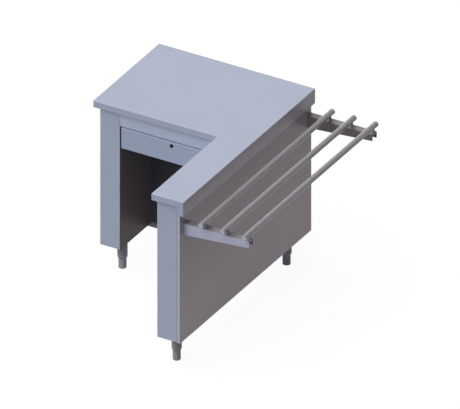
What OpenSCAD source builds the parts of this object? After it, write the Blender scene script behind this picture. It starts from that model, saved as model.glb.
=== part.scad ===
// Cashier counter module: an L shaped worktop of folded steel on two boxed walls, with a
// lockable drawer over the knee space, a boxed apron along the customers' edge and a tray
// slide of three tubes on two brackets.
// X runs from the cashier's edge to the customers' side, Y from the near end to the far
// end and Z up. The origin is on the floor, under the middle of the whole outline.

/* [Worktop] */
// Height of the worktop above the floor
counter_h = 900; // [840:1:980]
// Length of the module along the tray slide
module_l = 1200; // [1120:1:1400]
// Width of the worktop, from the cashier's edge to the customers' edge
top_w = 820; // [780:1:900]
// Depth of the main table behind the cashier's bay
main_depth = 600; // [580:1:680]
// Width of the arm beside the cashier's bay
arm_w = 168; // [160:1:200]
// Thickness of the folded steel sheet
sheet_t = 1.5; // [1:0.1:2]
// Inner radius of the folds
fold_r = 1; // [0.5:0.1:1.5]
// Height of the turned down edge
edge_h = 35; // [28:1:45]
// Width of the return under the turned down edge
edge_return = 12; // [8:1:20]
// Height of the boxed apron along the customers' edge
apron_h = 77; // [65:1:95]
// Distance from the apron's face back to the face of the customers' panel
apron_overhang = 20; // [10:1:30]
// Width of the crown of a hat stiffener
hat_w = 60; // [45:1:64]
// Width of each brim of a hat stiffener
hat_brim = 18; // [12:1:20]
// Number of hat stiffeners across the main table
cross_hats = 3; // [2:1:4]

/* [Walls] */
// Clear height under the walls
leg_h = 150; // [130:1:180]
// Width of the wall under the cashier's edge
left_wall_w = 105; // [95:1:125]
// Width of the wall under the arm
arm_wall_w = 111; // [100:1:118]
// Overhang of the worktop past the wall on the cashier's side
side_overhang = 30; // [20:1:45]
// Overhang of the worktop past the front faces of the walls
front_overhang = 11; // [6:1:20]
// Width of the return along the open edges of the cashier side shell
shell_return = 15; // [10:1:30]
// Length of a post's section, along the wall
post_l = 60; // [50:1:70]
// Width of a post's section, across the wall
post_w = 40; // [30:1:50]
// Wall thickness of a post
post_t = 2; // [1.5:0.1:3]
// Thickness of the base pans
base_t = 2.5; // [2:0.1:4]
// Height of the base pans' upturned flanges
base_flange = 25; // [15:1:40]

/* [Customers' panel] */
// Thickness of the customers' panel
panel_t = 13; // [10:0.5:18]
// How far the panel's near edge stands in front of the wall's near face
panel_proud = 7; // [2:0.5:9]

/* [Knee space] */
// Depth from the walls' front faces to the front edge of the back panel's foot lip
knee_depth = 252; // [200:1:280]
// Depth of the foot lip, folded towards the cashier
lip_d = 32; // [20:1:40]
// Clearance between the back panel and the drawer
back_gap = 35; // [15:1:60]
// Width of the back panel's fixing tabs and top fold
tab_w = 20; // [15:1:25]
// Number of rivets in each fixing tab
tab_rivets = 3; // [2:1:5]
// Diameter of a rivet
rivet_d = 4; // [3:0.1:5]
// Diameter of a rivet's head
rivet_head_d = 8; // [6.5:0.1:10]
// Height of a rivet's head
rivet_head_h = 1.6; // [1:0.1:2.5]
// Height of the rail over the drawer
rail_h = 67; // [55:1:75]
// Depth of the folds along the rail's edges
rail_d = 18; // [14:1:20]

/* [Drawer] */
// Gap between the rail and the drawer front
drawer_gap = 5; // [3:0.5:8]
// Gap between the drawer front and each wall
side_gap = 6; // [3:0.5:8]
// Height of the drawer front
front_h = 108; // [100:1:115]
// Thickness of the folded drawer front
front_t = 18; // [15:1:22]
// Width of the hems behind the drawer front
front_hem = 10; // [7:0.5:10]
// Height of the drawer box
box_h = 64; // [58:1:66]
// Depth of the drawer box
box_d = 400; // [350:1:480]
// Sheet thickness of the drawer box
box_t = 1.2; // [1:0.1:1.5]
// Width of the inward rim round the drawer box
box_rim = 8; // [5:0.5:12]
// Height of the drawer box above the lower edge of the front
box_lift = 6; // [3:0.5:8]
// Thickness of a runner, across the slot beside the drawer box
runner_w = 12.7; // [12:0.1:15]
// Height of a runner
runner_h = 45; // [40:1:50]
// Sheet thickness of a runner's members
runner_t = 1.2; // [1:0.1:1.5]
// Play between the nested members of a runner
runner_play = 0.35; // [0.3:0.05:0.5]
// Distance of the runner's front end behind the drawer front
runner_back = 2; // [1:0.5:6]
// Number of rivets in each runner member
runner_rivets = 3; // [2:1:4]
// Diameter of the screws that hold the drawer front
front_screw_d = 4; // [3:0.1:5]

/* [Lock] */
// Distance of the lock's centre below the top edge of the drawer front
lock_drop = 20; // [19:0.5:26]
// Diameter of the lock's face
lock_face_d = 18; // [17.5:0.5:22]
// Thickness of the lock's face
lock_face_t = 2; // [1.5:0.1:3]
// Diameter of the lock's barrel
lock_barrel_d = 16; // [15:0.5:17]
// Diameter of the turning plug
plug_d = 12; // [10:0.5:13]
// Radial play of the plug in the barrel
plug_play = 0.05; // [0.02:0.01:0.1]
// Width of the cam
cam_w = 12; // [10:0.5:14]
// Thickness of the cam
cam_t = 2.5; // [2:0.1:3]
// Reach of the cam from the plug's axis
cam_reach = 33; // [30:1:36]
// Play between the cam and the folds that it swings behind
cam_play = 2; // [1:0.5:3]

/* [Tray slide] */
// Outside diameter of a tube
tube_d = 28; // [22:1:32]
// Wall thickness of a tube
tube_wall = 1.5; // [1:0.1:2.5]
// Distance between the tubes
tube_pitch = 114; // [90:1:130]
// Distance from the customers' panel to the first tube's axis
first_tube = 110; // [80:1:130]
// Depth of the tubes' axes below the worktop
tube_drop = 94; // [85:1:110]
// Height of the pins between the brackets and the tubes
pin_h = 22; // [18:1:30]
// Diameter of a pin
pin_d = 10; // [8:0.5:12]
// Diameter of the screws that hold the pins
pin_screw_d = 5; // [4:0.5:6]
// Distance from the near end to the near bracket
bracket_inset = 36; // [25:1:45]
// Thickness of the bracket's sheet
bracket_t = 2.5; // [2:0.1:3]
// Height of a bracket at the panel
bracket_h = 62; // [55:1:75]
// Height of a bracket at its tip
bracket_tip_h = 34; // [30:1:40]
// Width of a bracket
bracket_w = 40; // [34:0.5:48]
// Diameter of the bolts that hold a bracket
bracket_bolt_d = 8; // [6:0.5:8]

/* [Feet] */
// Diameter of a leg's sleeve
sleeve_d = 48; // [43:1:52]
// Wall thickness of a sleeve
sleeve_wall = 1.5; // [1:0.1:3]
// Diameter of an adjustable foot
foot_d = 38; // [32:1:40]
// Height of an adjustable foot below its collar
foot_h = 49; // [40:1:55]
// Height of the tapered part of the collar
taper_h = 12; // [8:1:16]
// Length of the collar's plug inside the sleeve
collar_plug = 20; // [15:1:25]
// Diameter of a foot's stem
stem_d = 16; // [12:0.5:18]
// Length of a foot's stem
stem_l = 72; // [65:1:80]
// Radial play of the stem in the collar
stem_play = 0.05; // [0.02:0.01:0.1]
// Gap between a foot and its collar, when the foot is screwed right in
foot_gap = 0.3; // [0.2:0.1:0.5]
// Rounding under a foot
foot_round = 3; // [2:0.5:5]
// Distance of the side wall's legs from its inner face
foot_inset = 42; // [36:1:46]
// Distance of the arm wall's legs from its inner face
arm_foot_inset = 48; // [40:1:56]
// Distance of the legs from the ends of the walls
foot_end = 95; // [90:1:120]
// Diameter of the stud on top of a sleeve
foot_stud_d = 12; // [10:0.5:14]

/* [Hidden] */
// Fit of parts that are fixed together, and room round a screw in its hole
seam = 0.4;
hole_play = 0.3;
// Overrun of every cut
over = 1;
// Facets along a fold, and along the rounding of a rim
fold_steps = 3;
round_steps = 5;
$fn = 48;

steel = [0.66, 0.69, 0.74];
steel_dark = [0.45, 0.46, 0.49];
tube_steel = [0.62, 0.62, 0.65];
zinc = [0.6, 0.61, 0.62];
black = [0.05, 0.05, 0.05];
board = [0.72, 0.62, 0.48];
grey_plastic = [0.35, 0.35, 0.36];

// The outline, from which every place is taken
tray_reach = first_tube + 2 * tube_pitch + tube_d / 2;
overall_w = top_w - apron_overhang + tray_reach;
x_left = -overall_w / 2;
x_right = x_left + top_w;
x_arm = x_right - arm_w;
y_near = -module_l / 2;
y_far = module_l / 2;
y_notch = y_far - main_depth;
z_edge = counter_h - edge_h;
z_apron = counter_h - apron_h;
skin_r = fold_r + sheet_t;

// The customers' panel and the walls
x_panel = x_right - apron_overhang;
x_back = x_panel - panel_t;
y_panel = y_near + front_overhang - panel_proud;
x_lw0 = x_left + side_overhang;
x_lw1 = x_lw0 + left_wall_w;
x_aw0 = x_back - arm_wall_w;
y_front = y_notch + front_overhang;
y_arm = y_near + front_overhang;
post_ends = [[y_front + skin_r, y_front + skin_r + post_l], [y_far - skin_r - post_l, y_far - skin_r]];
arm_post_ends = [[y_arm + skin_r, y_arm + skin_r + post_l], post_ends[1]];
x_post_left = x_lw1 - sheet_t;
x_post_arm = x_back - sheet_t;

// The stiffeners under the worktop
hat_h = edge_h - sheet_t;
hat_all = hat_w + 2 * hat_brim;
x_hat_left = (x_lw0 + x_lw1) / 2;
x_hat_arm = (x_aw0 + x_back) / 2;
y_hat0 = y_notch + edge_return + seam;
y_hat1 = y_far - edge_return - seam;

// The knee space and the rails
y_lip = y_front + knee_depth;
y_back = y_lip + lip_d;
z_rail = z_edge - rail_h;
x_mid = (x_lw1 + x_aw0) / 2;
rivet_shank = 3 * sheet_t;

// The drawer
z_front1 = z_rail - drawer_gap;
z_front0 = z_front1 - front_h;
x_front0 = x_lw1 + side_gap;
x_front1 = x_aw0 - side_gap;
y_box = y_front + front_t;
x_box0 = x_lw1 + runner_w;
x_box1 = x_aw0 - runner_w;
z_box0 = z_front0 + box_lift;
z_box1 = z_box0 + box_h;
z_runner = (z_box0 + z_box1) / 2;
y_runner0 = y_box + runner_back;
y_runner1 = y_box + box_d;
middle_h = runner_h - 2 * (runner_t + runner_play);
inner_h = middle_h - 2 * (runner_t + runner_play);
middle_x = runner_t + runner_play;
inner_x = middle_x + runner_t + runner_play;
outer_reach = runner_w - 3 * runner_t;
middle_reach = runner_w - runner_t - 2 * runner_play;
x_struts = [for (s = [-1, 1]) x_mid + s * (x_front1 - x_front0) / 4];
strut_w = 2 * front_t;
front_screw_head = 2 * front_screw_d;
front_screw_head_h = front_screw_d / 2;

// The back panel ends below the drawer
z_back1 = z_front0 - back_gap;
back_panel_h = z_back1 - leg_h;

// The lock
z_lock = z_front1 - lock_drop;
y_cam = y_box + cam_play;
barrel_nut_w = lock_barrel_d + 4 * lock_face_t;
barrel_nut_h = 2 * lock_face_t;
keyway_w = plug_d / 6;
keyway_h = plug_d * 2 / 3;
keyway_d = 2 * lock_face_t;
plug_square = plug_d / 2;
cam_screw_d = plug_d / 3;
cam_screw_head = cam_screw_d * 5 / 2;
cam_screw_head_h = cam_t;
cam_screw_l = 2 * cam_screw_d;

// The tray slide
z_tube = counter_h - tube_drop;
z_flange = z_tube - tube_d / 2 - pin_h;
x_tubes = [for (i = [0:2]) x_panel + first_tube + i * tube_pitch];
y_brackets = [y_near + bracket_inset, y_far - bracket_w];
y_pins = [for (y = y_brackets) y + bracket_w / 2];
x_tip = x_tubes[2] + pin_d / 2;
disc_t = 2 * tube_wall;
pin_screw_reach = 3 * pin_screw_d;
pin_screw_head = pin_screw_d * 17 / 10;
washer_d = 3 * pin_screw_d;
washer_t = pin_screw_d / 4;
bolt_low = bracket_h / 4;
bolt_high = bracket_h * 3 / 4;
bolt_head_w = bracket_bolt_d * 13 / 8;
bolt_head_h = bracket_bolt_d * 2 / 3;
bolt_end = post_t + 2 * bracket_bolt_d;

// The legs
leg_places = [
    [x_aw0 + arm_foot_inset, y_arm + foot_end],
    [x_aw0 + arm_foot_inset, y_far - foot_end],
    [x_lw1 - foot_inset, y_front + foot_end],
    [x_lw1 - foot_inset, y_far - foot_end]
];
z_collar = foot_h;
z_sleeve = foot_h + taper_h;
sleeve_bore = sleeve_d - 2 * sleeve_wall;
sleeve_cap = 2 * sleeve_wall;
foot_nut_w = foot_stud_d * 19 / 12;
foot_nut_h = foot_stud_d * 5 / 6;
foot_stud_l = base_t + foot_nut_h + foot_stud_d / 3;

// Points along an arc
function arc(c, r, a0, a1, n) = [for (i = [0:n]) let (a = a0 + (a1 - a0) * i / n) c + r * [cos(a), sin(a)]];

// Outline of a sheet folded along a path. The path is the outer face, with the sheet on
// its left, and each bend keeps the inner radius r.
function heading(a, b) = atan2(b[1] - a[1], b[0] - a[0]);
function turn_of(a, b, c) = let (t = heading(b, c) - heading(a, b)) t > 180 ? t - 360 : t < -180 ? t + 360 : t;
function bend(a, b, c, t, r, side) =
    let (h = heading(a, b), k = turn_of(a, b, c), s = sign(k))
    let (r_path = s > 0 ? r + t : r, r_back = s > 0 ? r : r + t)
    let (mid = b - r_path * tan(abs(k) / 2) * [cos(h), sin(h)] + s * r_path * [-sin(h), cos(h)])
    arc(mid, side == 0 ? r_path : r_back, h - s * 90, h - s * 90 + k, fold_steps);
function shifted(a, h, t) = a + t * [-sin(h), cos(h)];
function folded(p, t, r) =
    let (n = len(p) - 1)
    let (face = [for (i = [1:n - 1]) for (q = bend(p[i - 1], p[i], p[i + 1], t, r, 0)) q])
    let (back = [for (i = [n - 1:-1:1]) each reversed(bend(p[i - 1], p[i], p[i + 1], t, r, 1))])
    concat([p[0]], face, [p[n]], [shifted(p[n], heading(p[n - 1], p[n]), t)], back,
        [shifted(p[0], heading(p[0], p[1]), t)]);
function reversed(v) = [for (i = [len(v) - 1:-1:0]) v[i]];

module along_x(x0, x1) {
    translate([x0, 0, 0]) rotate([90, 0, 90]) linear_extrude(x1 - x0) children();
}

module along_y(y0, y1) {
    translate([0, y1, 0]) rotate([90, 0, 0]) linear_extrude(y1 - y0) children();
}

module along_z(z0, z1) {
    translate([0, 0, z0]) linear_extrude(z1 - z0) children();
}

module block(low, high) {
    translate(low) cube(high - low);
}

module rod_x(x0, x1, y, z, d) {
    translate([x0, y, z]) rotate([0, 90, 0]) cylinder(d = d, h = x1 - x0);
}

module rod_y(y0, y1, x, z, d) {
    translate([x, y1, z]) rotate([90, 0, 0]) cylinder(d = d, h = y1 - y0);
}

module rod_z(z0, z1, x, y, d) {
    translate([x, y, z0]) cylinder(d = d, h = z1 - z0);
}

module hex_z(z0, z1, x, y, across) {
    translate([x, y, z0]) cylinder(d = across / cos(30), h = z1 - z0, $fn = 6);
}

// Mirror image of a piece beside the drawer, on the other side of the knee space
module other_side() {
    translate([2 * x_mid, 0, 0]) mirror([1, 0, 0]) children();
}

// Worktop

// A slab whose upper edges and upright corners are rounded
module soft_slab(x0, x1, y0, y1, z0, z1, r) {
    intersection() {
        along_x(x0, x1) polygon(concat([[y0, z0], [y1, z0]],
            arc([y1 - r, z1 - r], r, 0, 90, fold_steps), arc([y0 + r, z1 - r], r, 90, 180, fold_steps)));
        along_y(y0, y1) polygon(concat([[x0, z0], [x1, z0]],
            arc([x1 - r, z1 - r], r, 0, 90, fold_steps), arc([x0 + r, z1 - r], r, 90, 180, fold_steps)));
        along_z(z0, z1) polygon(concat(
            arc([x0 + r, y0 + r], r, 180, 270, fold_steps), arc([x1 - r, y0 + r], r, 270, 360, fold_steps),
            arc([x1 - r, y1 - r], r, 0, 90, fold_steps), arc([x0 + r, y1 - r], r, 90, 180, fold_steps)));
    }
}

// The L of the worktop, drawn in by a distance on every side
module worktop_solid(inset, z0, z1, r) {
    soft_slab(x_left + inset, x_right - inset, y_notch + inset, y_far - inset, z0, z1, r);
    soft_slab(x_arm + inset, x_right - inset, y_near + inset, y_far - inset, z0, z1, r);
}

module worktop_opening() {
    gap = edge_return;
    along_z(z_edge - over, z_edge + sheet_t + over) polygon([
        [x_arm + gap, y_near + gap], [x_right - sheet_t, y_near + gap],
        [x_right - sheet_t, y_far - gap], [x_left + gap, y_far - gap],
        [x_left + gap, y_notch + gap], [x_arm + gap, y_notch + gap]]);
}

module worktop_skin() {
    color(steel) union() {
        difference() {
            worktop_solid(0, z_edge, counter_h, skin_r);
            worktop_solid(sheet_t, z_edge + sheet_t, counter_h - sheet_t, fold_r);
            worktop_opening();
        }
        along_y(y_near, y_far) polygon(folded(
            [[x_back, z_edge], [x_back, z_apron], [x_right, z_apron], [x_right, z_edge]], sheet_t, fold_r));
    }
}

module apron_end_caps() {
    color(steel) for (y = [y_near, y_far - sheet_t])
        along_y(y, y + sheet_t) polygon(concat(
            [[x_right - sheet_t, z_edge], [x_back + sheet_t, z_edge]],
            arc([x_back + skin_r, z_apron + skin_r], fold_r, 180, 270, fold_steps),
            arc([x_right - skin_r, z_apron + skin_r], fold_r, 270, 360, fold_steps)));
}

// Section of a hat stiffener about the line c, with its brims up against the worktop's skin
module hat(c) {
    brim = counter_h - 2 * sheet_t;
    polygon(folded([
        [c - hat_all / 2, brim], [c - hat_w / 2, brim], [c - hat_w / 2, z_edge],
        [c + hat_w / 2, z_edge], [c + hat_w / 2, brim], [c + hat_all / 2, brim]], sheet_t, fold_r));
}

module long_stiffeners() {
    color(steel_dark) {
        along_y(y_hat0, y_hat1) hat(x_hat_left);
        along_y(y_near + edge_return + seam, y_hat1) hat(x_hat_arm);
    }
}

module cross_stiffeners() {
    step = (y_hat1 - y_hat0) / cross_hats;
    color(steel_dark) for (i = [0:cross_hats - 1])
        along_x(x_hat_left + hat_all / 2 + seam, x_hat_arm - hat_all / 2 - seam)
            hat(y_hat0 + (i + 1 / 2) * step);
}

// Walls

module post(x1, ends) {
    difference() {
        block([x1 - post_w, ends[0], leg_h + base_t], [x1, ends[1], z_edge]);
        block([x1 - post_w + post_t, ends[0] + post_t, leg_h + base_t - over],
            [x1 - post_t, ends[1] - post_t, z_edge + over]);
    }
}

// A pan that closes a wall's underside, with flanges up both long sides, notched round the posts
module base_pan(x0, x1, y0, y1, ends, places) {
    difference() {
        along_y(y0, y1) polygon(folded(
            [[x0, leg_h + base_flange], [x0, leg_h], [x1, leg_h], [x1, leg_h + base_flange]], base_t, fold_r));
        for (e = ends) block([x1 - base_t - fold_r, e[0] - over, leg_h + base_t],
            [x1 + over, e[1] + over, leg_h + base_flange + over]);
        for (p = places) rod_z(leg_h - over, leg_h + base_t + over, p[0], p[1], foot_stud_d + 2 * hole_play);
    }
}

// Holes of the back panel's rivets, through a wall and the tab beside it
module tab_rivet_rods(x0, x1, d) {
    step = back_panel_h / tab_rivets;
    for (i = [0:tab_rivets - 1]) rod_x(x0, x1, y_back + sheet_t + tab_w / 2, leg_h + (i + 1 / 2) * step, d);
}

// Holes of the runner rivets, through a wall and the runner beside it
module runner_rivet_rods(x0, x1, d) {
    step = (y_runner1 - y_runner0) / runner_rivets;
    for (i = [0:runner_rivets - 1]) rod_x(x0, x1, y_runner0 + (i + 1 / 2) * step, z_runner, d);
}

module left_wall_shell() {
    color(steel) along_z(leg_h, z_edge) polygon(folded([
        [x_lw1, y_far - shell_return], [x_lw1, y_far], [x_lw0, y_far],
        [x_lw0, y_front], [x_lw1, y_front], [x_lw1, y_front + shell_return]], sheet_t, fold_r));
}

module left_wall_lining() {
    color(steel) difference() {
        block([x_lw1 - sheet_t, y_front + shell_return + seam, leg_h],
            [x_lw1, y_far - shell_return - seam, z_edge]);
        tab_rivet_rods(x_lw1 - sheet_t - over, x_lw1 + over, rivet_d);
        runner_rivet_rods(x_lw1 - sheet_t - over, x_lw1 + over, rivet_d);
    }
}

module left_base_pan() {
    color(steel_dark) base_pan(x_lw0 + sheet_t, x_post_left, y_front + skin_r, y_far - skin_r,
        post_ends, [leg_places[2], leg_places[3]]);
}

module left_posts() {
    color(steel_dark) for (e = post_ends) post(x_post_left, e);
}

module arm_wall_shell() {
    color(steel) difference() {
        along_z(leg_h, z_edge) polygon(folded([
            [x_back, y_far - post_l], [x_back, y_far], [x_aw0, y_far],
            [x_aw0, y_arm], [x_back, y_arm], [x_back, y_arm + post_l]], sheet_t, fold_r));
        bracket_bolt_rods(x_back - sheet_t - over, x_back + over, bracket_bolt_d + 2 * hole_play);
        tab_rivet_rods(x_aw0 - over, x_aw0 + sheet_t + over, rivet_d);
        runner_rivet_rods(x_aw0 - over, x_aw0 + sheet_t + over, rivet_d);
    }
}

module arm_base_pan() {
    color(steel_dark) base_pan(x_aw0 + sheet_t, x_post_arm, y_arm + skin_r, y_far - skin_r,
        arm_post_ends, [leg_places[0], leg_places[1]]);
}

module arm_posts() {
    color(steel_dark) difference() {
        for (e = arm_post_ends) post(x_post_arm, e);
        bracket_bolt_rods(x_post_arm - post_t - over, x_post_arm + over, bracket_bolt_d);
    }
}

// Customers' panel

module customer_panel() {
    color(steel) difference() {
        union() {
            along_z(leg_h, z_apron) polygon(folded(
                [[x_back, y_panel], [x_panel, y_panel], [x_panel, y_far], [x_back, y_far]], sheet_t, fold_r));
            for (z = [leg_h, z_apron - sheet_t])
                block([x_back, y_panel + sheet_t, z], [x_panel - sheet_t, y_far - sheet_t, z + sheet_t]);
        }
        bracket_bolt_rods(x_panel - sheet_t - over, x_panel + over, bracket_bolt_d + 2 * hole_play);
    }
}

module panel_core() {
    color(board) difference() {
        block([x_back, y_panel + sheet_t + fold_r, leg_h + sheet_t],
            [x_panel - sheet_t, y_far - sheet_t - fold_r, z_apron - sheet_t]);
        bracket_bolt_rods(x_back - over, x_panel + over, bracket_bolt_d + 2 * hole_play);
    }
}

// Knee space and rails

module back_panel() {
    color(steel) difference() {
        union() {
            along_x(x_lw1, x_aw0) polygon(folded([
                [y_back + tab_w, z_back1], [y_back, z_back1], [y_back, leg_h + sheet_t], [y_lip, leg_h + sheet_t]],
                sheet_t, fold_r));
            for (x = [x_lw1, x_aw0 - sheet_t])
                block([x, y_back + sheet_t, leg_h + sheet_t], [x + sheet_t, y_back + sheet_t + tab_w, z_back1 - sheet_t]);
        }
        tab_rivet_rods(x_lw1 - over, x_lw1 + sheet_t + over, rivet_d);
        tab_rivet_rods(x_aw0 - sheet_t - over, x_aw0 + over, rivet_d);
    }
}

module back_panel_rivets() {
    color(zinc) {
        tab_rivet_rods(x_lw1 - rivet_shank, x_lw1 + sheet_t, rivet_d);
        tab_rivet_rods(x_lw1 + sheet_t, x_lw1 + sheet_t + rivet_head_h, rivet_head_d);
        tab_rivet_rods(x_aw0 - sheet_t, x_aw0 + rivet_shank, rivet_d);
        tab_rivet_rods(x_aw0 - sheet_t - rivet_head_h, x_aw0 - sheet_t, rivet_head_d);
    }
}

// A folded rail between the walls, with a tab at each end
module rail(y_face, back) {
    y_fold = y_face + back * rail_d;
    path = [[y_fold, z_edge], [y_face, z_edge], [y_face, z_rail], [y_fold, z_rail]];
    along_x(x_lw1, x_aw0) polygon(folded(back > 0 ? path : reversed(path), sheet_t, fold_r));
    for (x = [x_lw1, x_aw0 - sheet_t])
        block([x, min(y_face + back * sheet_t, y_fold), z_rail + sheet_t],
            [x + sheet_t, max(y_face + back * sheet_t, y_fold), z_edge - sheet_t]);
}

module front_rail() {
    color(steel) rail(y_front, 1);
}

module rear_rail() {
    color(steel) rail(y_far, -1);
}

// Drawer

module front_screw_rods(y0, y1, d) {
    for (x = x_struts) for (z = [z_box0 + box_h / 4, z_box1 - box_h / 4]) rod_y(y0, y1, x, z, d);
}

module drawer_front() {
    y1 = y_front + front_t;
    color(steel) difference() {
        union() {
            along_x(x_front0, x_front1) polygon(folded([
                [y1, z_front1 - front_hem], [y1, z_front1], [y_front, z_front1],
                [y_front, z_front0], [y1, z_front0], [y1, z_front0 + front_hem]], sheet_t, fold_r));
            for (x = [x_front0, x_front1 - sheet_t])
                block([x, y_front + sheet_t, z_front0 + sheet_t], [x + sheet_t, y1 - sheet_t, z_front1 - sheet_t]);
        }
        rod_y(y_front - over, y_front + sheet_t + over, x_mid, z_lock, lock_barrel_d + 2 * hole_play);
    }
}

// Upright channels inside the drawer front, which take the screws of the drawer box
module front_struts() {
    y1 = y_front + front_t;
    color(steel_dark) difference() {
        for (x = x_struts) along_z(z_front0 + front_hem + seam, z_front1 - front_hem - seam) polygon(folded([
            [x + strut_w / 2, y_front + sheet_t], [x + strut_w / 2, y1],
            [x - strut_w / 2, y1], [x - strut_w / 2, y_front + sheet_t]], sheet_t, fold_r));
        front_screw_rods(y1 - sheet_t - over, y1 + over, front_screw_d);
    }
}

module drawer_box() {
    color(steel) difference() {
        block([x_box0, y_box, z_box0], [x_box1, y_runner1, z_box1]);
        block([x_box0 + box_t, y_box + box_t, z_box0 + box_t], [x_box1 - box_t, y_runner1 - box_t, z_box1 - box_t]);
        block([x_box0 + box_rim, y_box + box_t, z_box1 - box_t - over], [x_box1 - box_rim, y_runner1 - box_rim, z_box1 + over]);
        front_screw_rods(y_box - over, y_box + box_t + over, front_screw_d);
        for (side = [0, 1]) box_side(side) runner_rivet_rods(x_box0 - over, x_box0 + box_t + over, rivet_d);
    }
}

// A piece beside the drawer box, on the near side of the mirror or beyond it
module box_side(side) {
    if (side == 0) children();
    else other_side() children();
}

module drawer_screws() {
    y1 = y_box + box_t;
    color(zinc) {
        front_screw_rods(y_box - 2 * front_screw_d, y1, front_screw_d);
        front_screw_rods(y1, y1 + front_screw_head_h, front_screw_head);
    }
}

module box_rivets() {
    color(zinc) for (side = [0, 1]) box_side(side) {
        runner_rivet_rods(x_box0 - runner_t - rivet_head_h, x_box0 + box_t, rivet_d);
        runner_rivet_rods(x_box0 + box_t, x_box0 + box_t + rivet_head_h, rivet_head_d);
    }
}

module runner_outer() {
    color(zinc) difference() {
        along_y(y_runner0, y_runner1) channel(x_lw1, x_lw1 + outer_reach, runner_h);
        runner_rivet_rods(x_lw1 - over, x_lw1 + runner_t + over, rivet_d);
    }
}

module runner_middle() {
    color(zinc) along_y(y_runner0, y_runner1) channel(x_lw1 + middle_x, x_lw1 + middle_reach, middle_h);
}

module runner_inner() {
    color(zinc) difference() {
        along_y(y_runner0, y_runner1) channel(x_box0, x_lw1 + inner_x, inner_h);
        runner_rivet_rods(x_box0 - runner_t - over, x_box0 + over, rivet_d);
    }
}

// Section of a runner's member, with its web at x0 and its edges at x1
module channel(x0, x1, h) {
    path = [[x1, z_runner + h / 2], [x0, z_runner + h / 2], [x0, z_runner - h / 2], [x1, z_runner - h / 2]];
    polygon(folded(x1 > x0 ? path : reversed(path), runner_t, runner_play));
}

module runner_outer_left() {
    runner_outer();
}

module runner_outer_right() {
    other_side() runner_outer();
}

module runner_middle_left() {
    runner_middle();
}

module runner_middle_right() {
    other_side() runner_middle();
}

module runner_inner_left() {
    runner_inner();
}

module runner_inner_right() {
    other_side() runner_inner();
}

module wall_rivets() {
    color(zinc) for (side = [0, 1]) box_side(side) {
        runner_rivet_rods(x_lw1 - sheet_t, x_lw1 + runner_t, rivet_d);
        runner_rivet_rods(x_lw1 - sheet_t - rivet_head_h, x_lw1 - sheet_t, rivet_head_d);
    }
}

// Lock

module lock_barrel() {
    color(black) difference() {
        union() {
            rod_y(y_front - lock_face_t, y_front, x_mid, z_lock, lock_face_d);
            rod_y(y_front, y_cam - seam, x_mid, z_lock, lock_barrel_d);
        }
        rod_y(y_front - lock_face_t - over, y_cam + over, x_mid, z_lock, plug_d + 2 * plug_play);
    }
}

module lock_nut() {
    y0 = y_front + sheet_t;
    color(zinc) difference() {
        translate([x_mid, y0 + barrel_nut_h, z_lock]) rotate([90, 0, 0])
            cylinder(d = barrel_nut_w / cos(30), h = barrel_nut_h, $fn = 6);
        rod_y(y0 - over, y0 + barrel_nut_h + over, x_mid, z_lock, lock_barrel_d);
    }
}

module lock_plug() {
    y0 = y_front - lock_face_t;
    color(black) difference() {
        union() {
            rod_y(y0, y_cam, x_mid, z_lock, plug_d);
            block([x_mid - plug_square / 2, y_cam, z_lock - plug_square / 2],
                [x_mid + plug_square / 2, y_cam + cam_t, z_lock + plug_square / 2]);
        }
        block([x_mid - keyway_w / 2, y0 - over, z_lock - keyway_h / 2],
            [x_mid + keyway_w / 2, y0 + keyway_d, z_lock + keyway_h / 2]);
        rod_y(y_cam + cam_t - cam_screw_l, y_cam + cam_t + over, x_mid, z_lock, cam_screw_d);
    }
}

module lock_cam() {
    color(zinc) difference() {
        union() {
            rod_y(y_cam, y_cam + cam_t, x_mid, z_lock, cam_w);
            block([x_mid - cam_reach, y_cam, z_lock - cam_w / 2], [x_mid, y_cam + cam_t, z_lock + cam_w / 2]);
        }
        block([x_mid - plug_square / 2, y_cam - over, z_lock - plug_square / 2],
            [x_mid + plug_square / 2, y_cam + cam_t + over, z_lock + plug_square / 2]);
    }
}

module cam_screw() {
    y1 = y_cam + cam_t;
    color(zinc) union() {
        rod_y(y1, y1 + cam_screw_head_h, x_mid, z_lock, cam_screw_head);
        rod_y(y1 - cam_screw_l, y1, x_mid, z_lock, cam_screw_d);
    }
}

// Tray slide

module bracket_bolt_rods(x0, x1, d) {
    for (y = y_pins) for (dz = [bolt_low, bolt_high]) rod_x(x0, x1, y, z_flange - bracket_h + dz, d);
}

// A channel of folded sheet, open below and at its tip, deep at the panel and shallow at the tip
module bracket(y0) {
    y1 = y0 + bracket_w;
    z0 = z_flange - bracket_h;
    color(steel) difference() {
        union() {
            intersection() {
                along_x(x_panel, x_tip) polygon(folded(
                    [[y1, z0], [y1, z_flange], [y0, z_flange], [y0, z0]], bracket_t, fold_r));
                along_y(y0 - over, y1 + over) polygon([
                    [x_panel, z_flange], [x_panel, z0], [x_tip, z_flange - bracket_tip_h], [x_tip, z_flange]]);
            }
            block([x_panel, y0 + bracket_t, z0], [x_panel + bracket_t, y1 - bracket_t, z_flange - bracket_t]);
        }
        bracket_bolt_rods(x_panel - over, x_panel + bracket_t + over, bracket_bolt_d + 2 * hole_play);
        for (x = x_tubes) rod_z(z_flange - bracket_t - over, z_flange + over, x, y0 + bracket_w / 2,
            pin_screw_d + 2 * hole_play);
    }
}

module bracket_near() {
    bracket(y_brackets[0]);
}

module bracket_far() {
    bracket(y_brackets[1]);
}

module bracket_bolts() {
    x0 = x_panel + bracket_t;
    color(zinc) {
        bracket_bolt_rods(x_post_arm - bolt_end, x0, bracket_bolt_d);
        for (y = y_pins) for (dz = [bolt_low, bolt_high])
            translate([x0, y, z_flange - bracket_h + dz]) rotate([0, 90, 0])
                cylinder(d = bolt_head_w / cos(30), h = bolt_head_h, $fn = 6);
    }
}

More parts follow.
